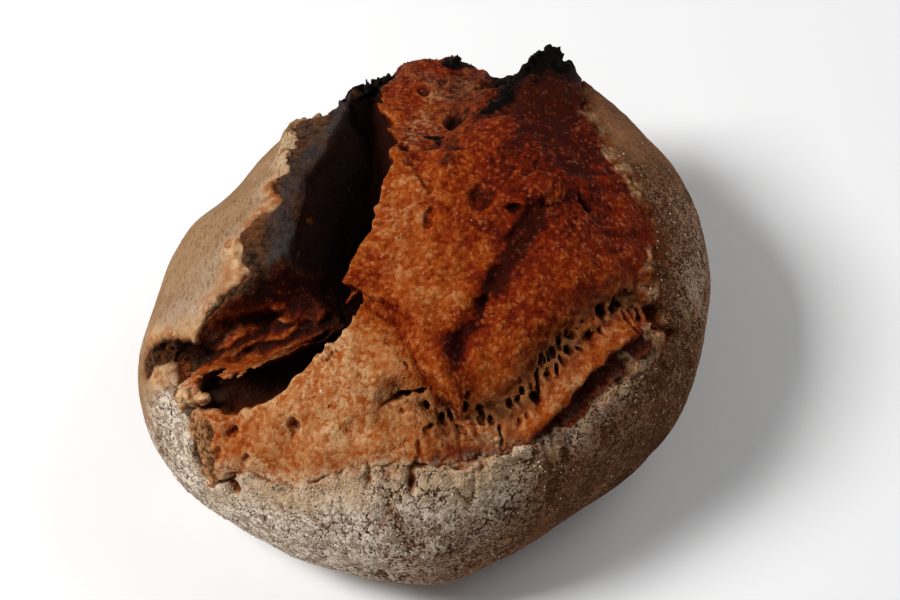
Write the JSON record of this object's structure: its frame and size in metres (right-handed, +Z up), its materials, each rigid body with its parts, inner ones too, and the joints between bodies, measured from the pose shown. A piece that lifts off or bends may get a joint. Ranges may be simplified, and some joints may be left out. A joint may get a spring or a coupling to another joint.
{
  "type": "rye bread loaf",
  "caption": "Round free-standing rye loaf with a floured crust, burst open on top: a raised torn flap, a deep cleft, a swollen inner crumb and one scorched peak.",
  "frame": {"origin": "centre of the bounding box at the flat underside, on the surface the loaf stands on", "axes": "+Z up, -Y towards the low side of the burst, +X to the right seen from there"},
  "size_m": [0.2032, 0.2082, 0.0982],
  "materials": {
    "crust": "matt baked rye crust dusted with flour, brown torn crumb, scorched edges"
  },
  "bodies": {
    "root": {"loaf": "crust"}
  },
  "joints": []
}
